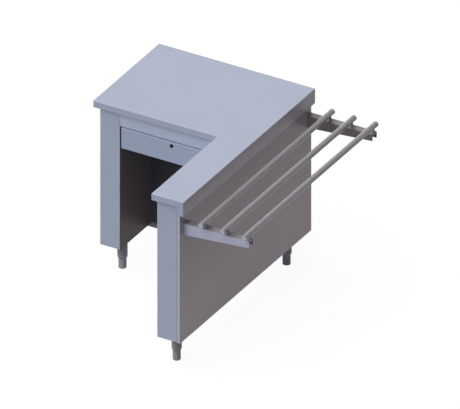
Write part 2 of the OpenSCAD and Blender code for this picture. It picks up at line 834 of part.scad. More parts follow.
module tray_tube(x) {
    color(tube_steel) difference() {
        rod_y(y_near, y_far, x, z_tube, tube_d);
        rod_y(y_near - over, y_far + over, x, z_tube, tube_d - 2 * tube_wall);
    }
}

module tray_tube_inner() {
    tray_tube(x_tubes[0]);
}

module tray_tube_middle() {
    tray_tube(x_tubes[1]);
}

module tray_tube_outer() {
    tray_tube(x_tubes[2]);
}

module tube_end_discs() {
    color(steel) for (x = x_tubes) for (y = [y_near, y_far - disc_t])
        rod_y(y, y + disc_t, x, z_tube, tube_d - 2 * tube_wall);
}

// A pin whose upper end is a saddle under the tube, with a thread in its lower end
module tube_pin(x, y) {
    difference() {
        rod_z(z_flange, z_tube, x, y, pin_d);
        rod_y(y - tube_d, y + tube_d, x, z_tube, tube_d);
        rod_z(z_flange - over, z_flange + pin_screw_reach, x, y, pin_screw_d);
    }
}

module tube_pins() {
    color(tube_steel) for (y = y_pins) for (x = x_tubes) tube_pin(x, y);
}

module pin_washers() {
    z1 = z_flange - bracket_t;
    color(zinc) for (y = y_pins) for (x = x_tubes) difference() {
        rod_z(z1 - washer_t, z1, x, y, washer_d);
        rod_z(z1 - washer_t - over, z1 + over, x, y, pin_screw_d + 2 * hole_play);
    }
}

module pin_screws() {
    z1 = z_flange - bracket_t - washer_t;
    color(zinc) for (y = y_pins) for (x = x_tubes) {
        rod_z(z1 - pin_screw_d, z1, x, y, pin_screw_head);
        rod_z(z1, z_flange + pin_screw_reach, x, y, pin_screw_d);
    }
}

// Legs

module leg_sleeve(p) {
    difference() {
        rod_z(z_sleeve, leg_h, p[0], p[1], sleeve_d);
        rod_z(z_sleeve - over, leg_h - sleeve_cap, p[0], p[1], sleeve_bore);
    }
    rod_z(leg_h, leg_h + foot_stud_l, p[0], p[1], foot_stud_d);
}

module leg_sleeves() {
    color(steel_dark) for (p = leg_places) leg_sleeve(p);
}

module leg_nuts() {
    z0 = leg_h + base_t;
    color(zinc) for (p = leg_places) difference() {
        hex_z(z0, z0 + foot_nut_h, p[0], p[1], foot_nut_w);
        rod_z(z0 - over, z0 + foot_nut_h + over, p[0], p[1], foot_stud_d);
    }
}

// The collar that closes the sleeve and tapers down to the foot
module leg_collar(p) {
    translate([p[0], p[1], 0]) rotate_extrude() polygon([
        [stem_d / 2 + stem_play, z_collar], [foot_d / 2, z_collar], [sleeve_d / 2, z_sleeve],
        [sleeve_bore / 2, z_sleeve], [sleeve_bore / 2, z_sleeve + collar_plug],
        [stem_d / 2 + stem_play, z_sleeve + collar_plug]]);
}

module leg_collars() {
    color(grey_plastic) for (p = leg_places) leg_collar(p);
}

// A foot with its screwed stem, turned as one piece
module foot(p) {
    top = foot_h - foot_gap;
    color(steel_dark) translate([p[0], p[1], 0]) rotate_extrude() polygon(concat(
        [[0, 0]], arc([foot_d / 2 - foot_round, foot_round], foot_round, 270, 360, round_steps),
        [[foot_d / 2, top], [stem_d / 2, top], [stem_d / 2, top + stem_l], [0, top + stem_l]]));
}

module foot_arm_near() {
    foot(leg_places[0]);
}

module foot_arm_far() {
    foot(leg_places[1]);
}

module foot_left_near() {
    foot(leg_places[2]);
}

module foot_left_far() {
    foot(leg_places[3]);
}

worktop_skin();
apron_end_caps();
long_stiffeners();
cross_stiffeners();
left_wall_shell();
left_wall_lining();
left_base_pan();
left_posts();
arm_wall_shell();
arm_base_pan();
arm_posts();
customer_panel();
panel_core();
back_panel();
back_panel_rivets();
front_rail();
rear_rail();
drawer_front();
front_struts();
drawer_box();
drawer_screws();
box_rivets();
runner_outer_left();
runner_outer_right();
runner_middle_left();
runner_middle_right();
runner_inner_left();
runner_inner_right();
wall_rivets();
lock_barrel();
lock_nut();
lock_plug();
lock_cam();
cam_screw();
bracket_near();
bracket_far();
bracket_bolts();
tray_tube_inner();
tray_tube_middle();
tray_tube_outer();
tube_end_discs();
tube_pins();
pin_washers();
pin_screws();
leg_sleeves();
leg_collars();
leg_nuts();
foot_arm_near();
foot_arm_far();
foot_left_near();
foot_left_far();
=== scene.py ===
"""Cashier counter module of satin stainless steel: an L shaped worktop on two boxed walls, a
lockable drawer over the knee space and a tray slide of three tubes on the customers' side."""
import math

import bmesh
import bpy
from mathutils import Matrix, Vector


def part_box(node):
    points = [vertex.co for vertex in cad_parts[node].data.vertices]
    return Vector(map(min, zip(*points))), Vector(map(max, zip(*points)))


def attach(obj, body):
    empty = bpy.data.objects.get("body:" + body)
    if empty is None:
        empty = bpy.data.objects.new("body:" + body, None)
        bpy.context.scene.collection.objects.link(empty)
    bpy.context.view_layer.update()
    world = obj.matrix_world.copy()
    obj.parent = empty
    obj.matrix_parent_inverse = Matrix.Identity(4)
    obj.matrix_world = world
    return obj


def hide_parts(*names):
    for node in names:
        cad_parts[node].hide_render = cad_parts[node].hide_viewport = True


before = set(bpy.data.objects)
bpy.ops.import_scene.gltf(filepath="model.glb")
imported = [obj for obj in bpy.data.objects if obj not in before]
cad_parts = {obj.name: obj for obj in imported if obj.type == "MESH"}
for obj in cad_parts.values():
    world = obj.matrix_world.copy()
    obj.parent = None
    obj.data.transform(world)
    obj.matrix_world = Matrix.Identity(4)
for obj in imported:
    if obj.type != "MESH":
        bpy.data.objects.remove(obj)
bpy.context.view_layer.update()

# Camera. The photograph is a parallel view, turned 30 degrees towards the customers' side and
# looking down by 30 degrees.
look = Vector((-0.4330, 0.7500, -0.5000))
aim = Vector((0.0459, 0.1676, 0.4500))
distance = 8
lens = bpy.data.cameras.new("photograph")
lens.type = "ORTHO"
lens.ortho_scale = 2.0909
lens.clip_end = 30
camera = bpy.data.objects.new("photograph", lens)
camera.location = aim - look * distance
camera.rotation_euler = look.to_track_quat("-Z", "Y").to_euler()
bpy.context.scene.collection.objects.link(camera)
bpy.context.scene.camera = camera
bpy.context.scene.view_settings.view_transform = "Standard"

# Studio. A broad soft lamp above the cashier's left shoulder, a faint one from behind that
# edges the tubes, a weak even light from all round, and a pale floor that runs out to white
# and keeps the counter's shadow.
def distant_lamp(name, energy, spread, comes_from):
    """A lamp far off; the wider its spread in degrees, the softer the shadows."""
    lamp = bpy.data.lights.new(name, "SUN")
    lamp.energy = energy
    lamp.angle = math.radians(spread)
    placed = bpy.data.objects.new(name, lamp)
    placed.rotation_euler = Vector(comes_from).to_track_quat("Z", "Y").to_euler()
    bpy.context.scene.collection.objects.link(placed)


def shows_as_background(nodes, links):
    """A factor: 1 for what the camera and the shiny parts see, and 0 for the light itself."""
    rays = nodes.new("ShaderNodeLightPath")
    seen = rays.outputs["Is Camera Ray"]
    for kind in ("Is Glossy Ray", "Is Transmission Ray"):
        both = nodes.new("ShaderNodeMath")
        both.operation = "MAXIMUM"
        links.new(seen, both.inputs[0])
        links.new(rays.outputs[kind], both.inputs[1])
        seen = both.outputs[0]
    return seen


distant_lamp("window_light", 2.53, 70, (-0.27, -0.36, 0.89))
distant_lamp("back_light", 0.22, 25, (-0.64, 0.72, 0.28))

room = bpy.data.worlds.new("room")
bpy.context.scene.world = room
room.use_nodes = True
nodes, links = room.node_tree.nodes, room.node_tree.links
nodes.clear()
room_light = nodes.new("ShaderNodeBackground")
room_light.inputs["Strength"].default_value = 0.19
room_white = nodes.new("ShaderNodeBackground")
room_mix = nodes.new("ShaderNodeMixShader")
room_out = nodes.new("ShaderNodeOutputWorld")
for white in (room_light, room_white):
    white.inputs["Color"].default_value = (1, 1, 1, 1)
links.new(shows_as_background(nodes, links), room_mix.inputs[0])
links.new(room_light.outputs[0], room_mix.inputs[1])
links.new(room_white.outputs[0], room_mix.inputs[2])
links.new(room_mix.outputs[0], room_out.inputs[0])

paper = bpy.data.materials.new("pale_floor")
paper.use_nodes = True
nodes, links = paper.node_tree.nodes, paper.node_tree.links
nodes.clear()
paper_lit = nodes.new("ShaderNodeBsdfDiffuse")
paper_lit.inputs["Color"].default_value = (0.12, 0.12, 0.12, 1)
paper_seen = nodes.new("ShaderNodeBsdfDiffuse")
paper_seen.inputs["Color"].default_value = (0.09, 0.09, 0.09, 1)
paper_glow = nodes.new("ShaderNodeEmission")
paper_glow.inputs["Strength"].default_value = 0.93
paper_add = nodes.new("ShaderNodeAddShader")
paper_mix = nodes.new("ShaderNodeMixShader")
paper_out = nodes.new("ShaderNodeOutputMaterial")
links.new(paper_seen.outputs[0], paper_add.inputs[0])
links.new(paper_glow.outputs[0], paper_add.inputs[1])
links.new(shows_as_background(nodes, links), paper_mix.inputs[0])
links.new(paper_lit.outputs[0], paper_mix.inputs[1])
links.new(paper_add.outputs[0], paper_mix.inputs[2])
links.new(paper_mix.outputs[0], paper_out.inputs[0])

floor_half = 14
floor_shape = bmesh.new()
bmesh.ops.create_grid(floor_shape, x_segments=1, y_segments=1, size=floor_half)
floor_mesh = bpy.data.meshes.new("floor")
floor_shape.to_mesh(floor_mesh)
floor_shape.free()
floor = bpy.data.objects.new("floor", floor_mesh)
floor.data.materials.append(paper)
bpy.context.scene.collection.objects.link(floor)

# Worktop. One 1.5 mm sheet of satin stainless steel, cut to an L, with its edges folded down
# and returned below and its corners welded and ground flush. Along the customers' edge it
# drops to a boxed apron, closed at both ends by a welded cap.
def satin_steel(name, colour, grain, rough=0.36, metal=0.22, shine=0.25, lines=700):
    """Stainless steel, brushed along one axis: fine lines in its gloss, and a faint cloudiness."""
    finish = bpy.data.materials.new(name)
    finish.use_nodes = True
    nodes, links = finish.node_tree.nodes, finish.node_tree.links
    steel = nodes["Principled BSDF"]
    steel.inputs["Metallic"].default_value = metal
    steel.inputs["Specular IOR Level"].default_value = shine
    place = nodes.new("ShaderNodeTexCoord")
    stretch = nodes.new("ShaderNodeMapping")
    stretch.inputs["Scale"].default_value = [5 if axis == grain else lines for axis in "xyz"]
    brush = nodes.new("ShaderNodeTexNoise")
    brush.inputs["Scale"].default_value = 1
    brush.inputs["Detail"].default_value = 3
    cloud = nodes.new("ShaderNodeTexNoise")
    cloud.inputs["Scale"].default_value = 3.5
    cloud.inputs["Detail"].default_value = 2
    links.new(place.outputs["Object"], stretch.inputs["Vector"])
    links.new(stretch.outputs["Vector"], brush.inputs["Vector"])
    links.new(place.outputs["Object"], cloud.inputs["Vector"])
    gloss = nodes.new("ShaderNodeMapRange")
    gloss.inputs["To Min"].default_value = rough - 0.07
    gloss.inputs["To Max"].default_value = rough + 0.07
    links.new(brush.outputs["Fac"], gloss.inputs["Value"])
    links.new(gloss.outputs["Result"], steel.inputs["Roughness"])
    tone = nodes.new("ShaderNodeMixRGB")
    tone.inputs["Color1"].default_value = (*[c * 0.95 for c in colour], 1)
    tone.inputs["Color2"].default_value = (*[c * 1.05 for c in colour], 1)
    links.new(cloud.outputs["Fac"], tone.inputs["Fac"])
    links.new(tone.outputs["Color"], steel.inputs["Base Color"])
    scratch = nodes.new("ShaderNodeBump")
    scratch.inputs["Strength"].default_value = 0.12
    scratch.inputs["Distance"].default_value = 0.00005
    links.new(brush.outputs["Fac"], scratch.inputs["Height"])
    links.new(scratch.outputs["Normal"], steel.inputs["Normal"])
    return finish


def set_down(shape, name, finish, body, slot, *nodes):
    """Makes the piece from its shape, with flat faces that stay flat beside rounded edges."""
    bmesh.ops.remove_doubles(shape, verts=shape.verts[:], dist=1e-6)
    bmesh.ops.recalc_face_normals(shape, faces=shape.faces[:])
    mesh = bpy.data.meshes.new(name)
    shape.to_mesh(mesh)
    shape.free()
    mesh.materials.append(finish)
    mesh.shade_smooth()
    mesh.set_sharp_from_angle(angle=math.radians(35))
    piece = bpy.data.objects.new(name, mesh)
    bpy.context.scene.collection.objects.link(piece)
    level = piece.modifiers.new("flat faces stay flat", "WEIGHTED_NORMAL")
    level.keep_sharp = True
    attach(piece, body)
    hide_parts(*nodes)
    return piece


def turned_side(piece, finish, way, beyond):
    """Gives the piece's faces that look that way, beyond that place along it, another finish."""
    way = Vector(way)
    piece.data.materials.append(finish)
    for face in piece.data.polygons:
        if face.normal.dot(way) > 0.35 and face.center.dot(way) > beyond:
            face.material_index = len(piece.data.materials) - 1


def new_verts(made):
    """The corners that an extrusion made."""
    return [g for g in made["geom"] if isinstance(g, bmesh.types.BMVert)]


def sharp_edges(shape, least=50):
    """The edges at which two faces of the shape meet at more than that many degrees."""
    return [e for e in shape.edges
            if len(e.link_faces) == 2 and e.calc_face_angle(0) > math.radians(least)]


def facing(shape, way):
    """The faces of the shape that look that way."""
    return [f for f in shape.faces if f.normal.dot(Vector(way)) > 0.5]


def round_off(shape, edges, radius, segments=3):
    """Rounds edges whose faces meet at a right angle to that radius."""
    bmesh.ops.bevel(shape, geom=edges, offset=radius, offset_type="OFFSET", segments=segments,
                    profile=0.5, affect="EDGES", material=-1, clamp_overlap=True)


def as_sheet(shape, thick, burr=0.0003):
    """Gives the faces the thickness of the sheet, inwards, and breaks the sheet's cut edges."""
    shape.normal_update()
    bmesh.ops.solidify(shape, geom=shape.faces[:], thickness=thick)
    shape.normal_update()
    round_off(shape, sharp_edges(shape), burr, 2)


sheet, inner_fold, outer_fold = 0.0015, 0.0010, 0.0025
top_low, top_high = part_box("worktop_skin")
panel_low, panel_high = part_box("customer_panel")
arm_width, table_depth, edge_height, edge_return = 0.168, 0.600, 0.035, 0.012
x_arm, y_bay = top_high.x - arm_width, top_high.y - table_depth
z_edge, z_apron, x_back = top_high.z - edge_height, top_low.z, panel_low.x

top = bmesh.new()
outline = top.faces.new([top.verts.new((x, y, top_high.z)) for x, y in (
    (top_low.x, y_bay), (x_arm, y_bay), (x_arm, top_low.y),
    (top_high.x, top_low.y), (top_high.x, top_high.y), (top_low.x, top_high.y))])
made = bmesh.ops.extrude_face_region(top, geom=[outline])
bmesh.ops.translate(top, verts=new_verts(made), vec=(0, 0, -edge_height))
bmesh.ops.recalc_face_normals(top, faces=top.faces[:])
down = (0, 0, -1)
below = facing(top, down)
bmesh.ops.bisect_plane(top, geom=below + below[0].edges[:] + below[0].verts[:],
                       plane_co=(x_back, 0, z_edge), plane_no=(1, 0, 0))
bay_side, apron_side = sorted(facing(top, down), key=lambda f: f.calc_center_median().x)
made = bmesh.ops.extrude_face_region(top, geom=[apron_side])
bmesh.ops.translate(top, verts=new_verts(made), vec=(0, 0, z_apron - z_edge))
bmesh.ops.delete(top, geom=[apron_side], context="FACES_ONLY")
bmesh.ops.recalc_face_normals(top, faces=top.faces[:])
bmesh.ops.inset_region(top, faces=[bay_side], thickness=edge_return, use_even_offset=True,
                       use_boundary=True)
beside_apron = [f for f in facing(top, down)
                if abs(f.calc_center_median().x - x_back) < edge_return]
bmesh.ops.delete(top, geom=[bay_side] + beside_apron, context="FACES")
round_off(top, sharp_edges(top), outer_fold)
as_sheet(top, sheet)
# Painted shade: the top, the front edges and the apron are one sheet, yet each gets its own tone by
# the way it faces. The top is darkened against the lamps' extra light on it, and the apron, facing
# away from them, is dimmer and browner.
top_shaded_tone = satin_steel("worktop_top_painted_shade", (0.394, 0.438, 0.545), "y", rough=0.42)
edge_finish = satin_steel("satin_edges", (0.455, 0.510, 0.655), "x")
apron_shaded_tone = satin_steel("apron_painted_shade", (0.465, 0.420, 0.475), "y", metal=0.05)
worktop = set_down(top, "worktop", edge_finish, "carcass", "worktop_steel",
                   "worktop_skin", "apron_end_caps")
turned_side(worktop, top_shaded_tone, (0, 0, 1), z_edge)
turned_side(worktop, apron_shaded_tone, (1, 0, 0), top_high.x - outer_fold)


# Stiffeners. Hat sections folded from the same sheet, spot welded by their brims to the
# underside of the worktop: one over each wall and three across the table.
def bent_sheet(line, along, start, end, thick, inside):
    """A strip of sheet as long as start to end, bent along a line of points that is its outer
    face. The sheet lies on the line's left."""
    put = {"x": lambda a, b, w: (w, a, b),
           "y": lambda a, b, w: (a, w, b),
           "z": lambda a, b, w: (a, b, w)}[along]
    strip = bmesh.new()
    points = [strip.verts.new(put(a, b, start)) for a, b in line]
    stretches = [strip.edges.new(pair) for pair in zip(points, points[1:])]
    made = bmesh.ops.extrude_edge_only(strip, edges=stretches)
    bmesh.ops.translate(strip, verts=new_verts(made), vec=put(0, 0, end - start))
    strip.normal_update()
    (a0, b0), (a1, b1) = line[:2]
    if points[0].link_faces[0].normal.dot(Vector(put(b1 - b0, a0 - a1, 0))) < 0:
        bmesh.ops.reverse_faces(strip, faces=strip.faces[:])
    strip.normal_update()
    for outwards, radius in ((True, inside + thick), (False, inside)):
        folds = [e for e in strip.edges if len(e.link_faces) == 2 and e.calc_face_angle(0) > 0.6
                 and (e.calc_face_angle_signed(0) > 0) == outwards]
        if folds:
            round_off(strip, folds, radius, 4)
            strip.normal_update()
    return strip


def hat(centre):
    """Outline of a hat section about that line, with its brims up against the worktop."""
    z_brim = top_high.z - 2 * sheet
    return [(centre - hat_brim, z_brim), (centre - hat_crown, z_brim), (centre - hat_crown, z_edge),
            (centre + hat_crown, z_edge), (centre + hat_crown, z_brim), (centre + hat_brim, z_brim)]


hat_brim, hat_crown, clear_of_edge = 0.048, 0.030, 0.0004
# Painted shade: the parts inside the counter get a darker steel than the outside.
inside_shade = satin_steel("inside_painted_shade", (0.300, 0.310, 0.340), "y", rough=0.42)
low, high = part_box("long_stiffeners")
for name, centre, near in (
        ("stiffener_over_side_wall", low.x + hat_brim, y_bay + edge_return + clear_of_edge),
        ("stiffener_along_arm", high.x - hat_brim, low.y)):
    rib = bent_sheet(hat(centre), "y", near, high.y, sheet, inner_fold)
    as_sheet(rib, sheet)
    set_down(rib, name, inside_shade, "carcass", "inner_steel", "long_stiffeners")
low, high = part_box("cross_stiffeners")
spacing = (high.y - low.y - 2 * hat_brim) / 2
for i in range(3):
    rib = bent_sheet(hat(low.y + hat_brim + i * spacing), "x", low.x, high.x, sheet, inner_fold)
    as_sheet(rib, sheet)
    set_down(rib, f"stiffener_across_{i + 1}", inside_shade, "carcass", "inner_steel",
             "cross_stiffeners")


# Side wall under the cashier's edge. A shell folded from one sheet, open towards the knee
# space, where a riveted lining closes it. Its base pan and its two posts are inside it.
def repaint(finish, *nodes):
    """Gives carried over parts of the frame a better finish."""
    for name in nodes:
        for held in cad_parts[name].material_slots:
            held.material = finish


def wall_shell(low, high, lip):
    """An upright shell round three sides, with a lip of that width at each end of the fourth."""
    shell = bent_sheet([(high.x, high.y - lip), (high.x, high.y), (low.x, high.y), (low.x, low.y),
                        (high.x, low.y), (high.x, low.y + lip)],
                       "z", low.z, high.z, sheet, inner_fold)
    as_sheet(shell, sheet)
    return shell


wall_colour = (0.465, 0.522, 0.670)
wall_finish = satin_steel("satin_walls", wall_colour, "z")
low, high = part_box("left_wall_shell")
shell = wall_shell(low, high, lip=0.015)
side_wall = set_down(shell, "side_wall", wall_finish, "carcass", "wall_steel", "left_wall_shell")
# Painted shade: the lining and the side wall's lips towards the knee space get a near black steel,
# for the shade in the knee space.
lining_shade = satin_steel("lining_painted_shade", (0.215, 0.170, 0.172), "z",
                            rough=0.45, metal=0, shine=0.15)
turned_side(side_wall, lining_shade, (1, 0, 0), high.x - outer_fold)
repaint(lining_shade, "left_wall_lining")
repaint(inside_shade, "left_base_pan", "left_posts")


# Wall under the arm. Made as the side wall is, and as long as the arm. Its open side is
# covered by the customers' panel, which is bolted to it. Beside that joint its face carries a
# thin dark line of painted shade.
def shade_along(finish, axis, start, end, left):
    """Darkens the finish between two places along an axis, down to that share of its tone: painted
    shade.
    """
    nodes, links = finish.node_tree.nodes, finish.node_tree.links
    place = nodes.new("ShaderNodeSeparateXYZ")
    share = nodes.new("ShaderNodeMapRange")
    for limit, value in (("From Min", start), ("From Max", end), ("To Min", 1), ("To Max", left)):
        share.inputs[limit].default_value = value
    shaded_tone = nodes.new("ShaderNodeMixRGB")
    shaded_tone.blend_type = "MULTIPLY"
    shaded_tone.inputs["Fac"].default_value = 1
    links.new(nodes["Texture Coordinate"].outputs["Object"], place.inputs[0])
    links.new(place.outputs[axis], share.inputs["Value"])
    links.new(nodes["Mix (Legacy)"].outputs["Color"], shaded_tone.inputs["Color1"])
    links.new(share.outputs["Result"], shaded_tone.inputs["Color2"])
    links.new(shaded_tone.outputs["Color"], nodes["Principled BSDF"].inputs["Base Color"])


low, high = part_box("arm_wall_shell")
shell = wall_shell(low, high, lip=0.060)
arm_wall_finish = satin_steel("satin_arm_wall", wall_colour, "z")
# Painted shade: a thin dark band on the wall's near face, just beside the panel's fold.
line_start, line_end = high.x - 0.0115, high.x - 0.0080
shade_along(arm_wall_finish, "X", line_start, line_end, 0.80)
set_down(shell, "arm_wall", arm_wall_finish, "carcass", "wall_steel", "arm_wall_shell")
repaint(inside_shade, "arm_base_pan", "arm_posts")


# Customers' panel. A shallow pan of satin sheet, folded back on all four sides with welded
# corners, and stiffened by a glued chipboard behind its face. The board's face towards the wall
# is painted grey as painted shade, and shows as a narrow strip beside the wall.
def box_of_faces(low, high):
    """A box between two corners, ready to be opened, rounded and given its thickness."""
    shape = bmesh.new()
    bmesh.ops.create_cube(shape, size=1)
    bmesh.ops.scale(shape, verts=shape.verts[:], vec=high - low)
    bmesh.ops.translate(shape, verts=shape.verts[:], vec=(low + high) / 2)
    return shape


pan = box_of_faces(panel_low, panel_high)
bmesh.ops.delete(pan, geom=facing(pan, (-1, 0, 0)), context="FACES_ONLY")
round_off(pan, sharp_edges(pan), outer_fold, 4)
as_sheet(pan, sheet)
panel_finish = satin_steel("satin_panel", (0.595, 0.510, 0.570), "y", metal=0.05)
# Painted shade: the panel's face grows darker upwards, to 70 per cent of its tone, under the tray
# slide.
z_unshaded, z_full_shade = 0.33, 0.72
shade_along(panel_finish, "Z", z_unshaded, z_full_shade, 0.70)
# Painted highlight: the panel's folds get a lighter steel than its face.
fold_highlight = satin_steel("folds_painted_highlight", (0.540, 0.580, 0.700), "z")
panel = set_down(pan, "customers_panel", fold_highlight, "carcass", "panel_steel", "customer_panel")
turned_side(panel, panel_finish, (1, 0, 0), panel_high.x - outer_fold)

grey_face_depth = 0.0006
board = bpy.data.materials.new("glued_board")
board.use_nodes = True
nodes, links = board.node_tree.nodes, board.node_tree.links
chips = nodes.new("ShaderNodeTexVoronoi")
chips.inputs["Scale"].default_value = 260
chip_place = nodes.new("ShaderNodeTexCoord")
chip_tone = nodes.new("ShaderNodeValToRGB")
chip_tone.color_ramp.elements[0].color = (0.36, 0.24, 0.12, 1)
chip_tone.color_ramp.elements[1].color = (0.62, 0.47, 0.29, 1)
links.new(chip_place.outputs["Object"], chips.inputs["Vector"])
links.new(chips.outputs["Distance"], chip_tone.inputs["Fac"])
# Painted shade: the board's face towards the wall is grey, so that the strip beside the wall reads
# as a shadow gap.
across_board = nodes.new("ShaderNodeSeparateXYZ")
grey_face_mask = nodes.new("ShaderNodeMath")
grey_face_mask.operation = "LESS_THAN"
grey_face_mask.inputs[1].default_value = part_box("panel_core")[0].x + grey_face_depth
board_tone = nodes.new("ShaderNodeMixRGB")
board_tone.inputs["Color2"].default_value = (0.30, 0.31, 0.34, 1)
links.new(chip_place.outputs["Object"], across_board.inputs[0])
links.new(across_board.outputs["X"], grey_face_mask.inputs[0])
links.new(grey_face_mask.outputs[0], board_tone.inputs["Fac"])
links.new(chip_tone.outputs["Color"], board_tone.inputs["Color1"])
links.new(board_tone.outputs["Color"], nodes["Principled BSDF"].inputs["Base Color"])
nodes["Principled BSDF"].inputs["Roughness"].default_value = 0.85
repaint(board, "panel_core")


# Back panel of the knee space. One sheet with a foot lip folded towards the cashier, a top
# fold, and a tab at each side that is riveted to the wall.
def add_plate(shape, low, high, burr=0.0003):
    """Adds a flat welded tab to the shape, with its edges broken."""
    tab = box_of_faces(low, high)
    round_off(tab, sharp_edges(tab), burr, 2)
    spare = bpy.data.meshes.new("tab")
    tab.to_mesh(spare)
    tab.free()
    shape.from_mesh(spare)
    bpy.data.meshes.remove(spare)


low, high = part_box("back_panel")
top_fold, slack = 0.020, 0.0001
y_face, z_lip = high.y - top_fold, low.z + sheet
knee = bent_sheet([(high.y, high.z), (y_face, high.z), (y_face, z_lip), (low.y, z_lip)],
                  "x", low.x, high.x, sheet, inner_fold)
as_sheet(knee, sheet)
for x0, x1 in ((low.x, low.x + sheet), (high.x - sheet, high.x)):
    add_plate(knee, Vector((x0, y_face + sheet, z_lip)), Vector((x1, high.y, high.z - sheet)))
# Painted shade: the back panel's side towards the cashier gets a near black steel for the shade of
# the knee space; its back keeps the walls' steel.
knee_shade = satin_steel("back_panel_painted_shade", (0.115, 0.116, 0.126), "z",
                          rough=0.45, metal=0, shine=0.15)
knee_panel = set_down(knee, "knee_panel", knee_shade, "carcass", "wall_steel", "back_panel")
# Painted light: the top of the foot lip is pale, which lifts it out of the knee space's shade.
lip_highlight = satin_steel("lip_painted_light", (0.700, 0.700, 0.680), "x")
turned_side(knee_panel, lip_highlight, (0, 0, 1), z_lip - slack)
turned_side(knee_panel, wall_finish, (0, 1, 0), y_face)


# Blind rivets. Zinc plated steel with low domed heads, in the tabs of the back panel, in the
# lining beside the runners and inside the drawer.
def turn(shape, line, centre, axis="z", steps=48):
    """Adds a turned form: a line of (radius, height) points, spun round the axis."""
    out, along = {"x": ((0, 1, 0), (1, 0, 0)),
                  "y": ((1, 0, 0), (0, 1, 0)),
                  "z": ((1, 0, 0), (0, 0, 1))}[axis]
    out, along, centre = Vector(out), Vector(along), Vector(centre)
    points = [shape.verts.new(centre + out * r + along * h) for r, h in line]
    stretches = [shape.edges.new(pair) for pair in zip(points, points[1:])]
    if line[0][0] > 0 and line[-1][0] > 0:
        stretches.append(shape.edges.new((points[-1], points[0])))
    bmesh.ops.spin(shape, geom=points + stretches, cent=centre, axis=along, angle=math.tau,
                   steps=steps, use_merge=True, use_duplicate=False)


def soften(line, radius):
    """The same line of points, with each inner corner cut to a small curve."""
    soft = [line[0]]
    for before, corner, after in zip(line, line[1:], line[2:]):
        before, corner, after = Vector(before), Vector(corner), Vector(after)
        a = corner + (before - corner) * min(0.45, radius / (before - corner).length)
        b = corner + (after - corner) * min(0.45, radius / (after - corner).length)
        soft += [tuple(a), tuple((a + b + corner * 2) / 4), tuple(b)]
    return soft + [line[-1]]


def rivet(shape, place, side):
    """A rivet along X whose domed head stands out of the sheet on that side."""
    dome = [(0, rivet_head), (0.0016, 0.00155), (0.0028, 0.0012), (0.0037, 0.0006), (0.0040, 0)]
    shank = [(shank_r, 0), (shank_r, -shank_length), (0, -shank_length)]
    turn(shape, [(r, side * h) for r, h in dome + shank], place, "x", 20)


rivet_head, shank_r, shank_length = 0.0016, 0.0019, 0.0028
zinc = satin_steel("bright_zinc", (0.520, 0.540, 0.560), "z", rough=0.30, metal=0.45, lines=180)
low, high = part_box("back_panel_rivets")
back_low, back_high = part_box("back_panel")
shape = bmesh.new()
for i in range(3):
    y, z = (low.y + high.y) / 2, back_low.z + (i + 0.5) * (back_high.z - back_low.z) / 3
    rivet(shape, (back_low.x + sheet, y, z), 1)
    rivet(shape, (back_high.x - sheet, y, z), -1)
set_down(shape, "knee_panel_rivets", zinc, "carcass", "zinc_plate", "back_panel_rivets")

runner_low, runner_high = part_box("runner_outer_left")
rivet_rows = [runner_low.y + (i + 0.5) * (runner_high.y - runner_low.y) / 3 for i in range(3)]
z_runner = (runner_low.z + runner_high.z) / 2
low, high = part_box("wall_rivets")
shape = bmesh.new()
for y in rivet_rows:
    rivet(shape, (low.x + rivet_head, y, z_runner), -1)
    rivet(shape, (high.x - rivet_head, y, z_runner), 1)
set_down(shape, "runner_rivets", zinc, "carcass", "zinc_plate", "wall_rivets")

box_low, box_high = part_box("drawer_box")
box_sheet = 0.0012
shape = bmesh.new()
for y in rivet_rows:
    rivet(shape, (box_low.x + box_sheet, y, z_runner), 1)
    rivet(shape, (box_high.x - box_sheet, y, z_runner), -1)
set_down(shape, "drawer_rivets", zinc, "drawer", "zinc_plate", "box_rivets")


# Rails between the walls. Folded channels with a welded tab at each end: one over the drawer,
# open to the back, and one at the far edge, open to the front.
# Painted light: the rails get a lighter steel than the walls, which lifts the shade under the
# worktop's edge.
rail_light = satin_steel("rails_painted_light", (0.540, 0.610, 0.790), "x")
for name, node, back in (("front_rail_over_drawer", "front_rail", True),
                         ("back_rail", "rear_rail", False)):
    low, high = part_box(node)
    y_face, y_fold = (low.y, high.y) if back else (high.y, low.y)
    line = [(y_fold, high.z), (y_face, high.z), (y_face, low.z), (y_fold, low.z)]
    rail = bent_sheet(line if back else line[::-1], "x", low.x, high.x, sheet, inner_fold)
    as_sheet(rail, sheet)
    inside = (y_face + sheet, y_fold) if back else (y_fold, y_face - sheet)
    for x0, x1 in ((low.x, low.x + sheet), (high.x - sheet, high.x)):
        add_plate(rail, Vector((x0, inside[0], low.z + sheet)),
                  Vector((x1, inside[1], high.z - sheet)))
    set_down(rail, name, rail_light, "carcass", "wall_steel", node)


# Drawer front. A folded pan 18 mm deep with hems behind its upper and lower edges, closed ends
# and a round hole for the lock. Two upright channels inside it take the screws of the box.
drawer_finish = satin_steel("satin_drawer", (0.434, 0.502, 0.662), "x")
low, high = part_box("drawer_front")
hem, lock_hole_r = 0.010, 0.0082
front = box_of_faces(low, high)
behind = facing(front, (0, 1, 0))
bmesh.ops.inset_region(front, faces=behind, thickness=hem, use_even_offset=True, use_boundary=True)
x_middle = (low.x + high.x) / 2
ends = [f for f in facing(front, (0, 1, 0)) if abs(f.calc_center_median().x - x_middle) > hem]
bmesh.ops.delete(front, geom=behind + ends, context="FACES")
round_off(front, sharp_edges(front), outer_fold, 4)
front.normal_update()
lock_low, lock_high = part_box("lock_barrel")
x_lock, z_lock = (lock_low.x + lock_high.x) / 2, (lock_low.z + lock_high.z) / 2
flat = max(facing(front, (0, -1, 0)), key=lambda f: f.calc_area())
around = flat.edges[:]
bmesh.ops.delete(front, geom=[flat], context="FACES_ONLY")
at_lock = Matrix.Translation((x_lock, low.y, z_lock)) @ Matrix.Rotation(math.radians(90), 4, "X")
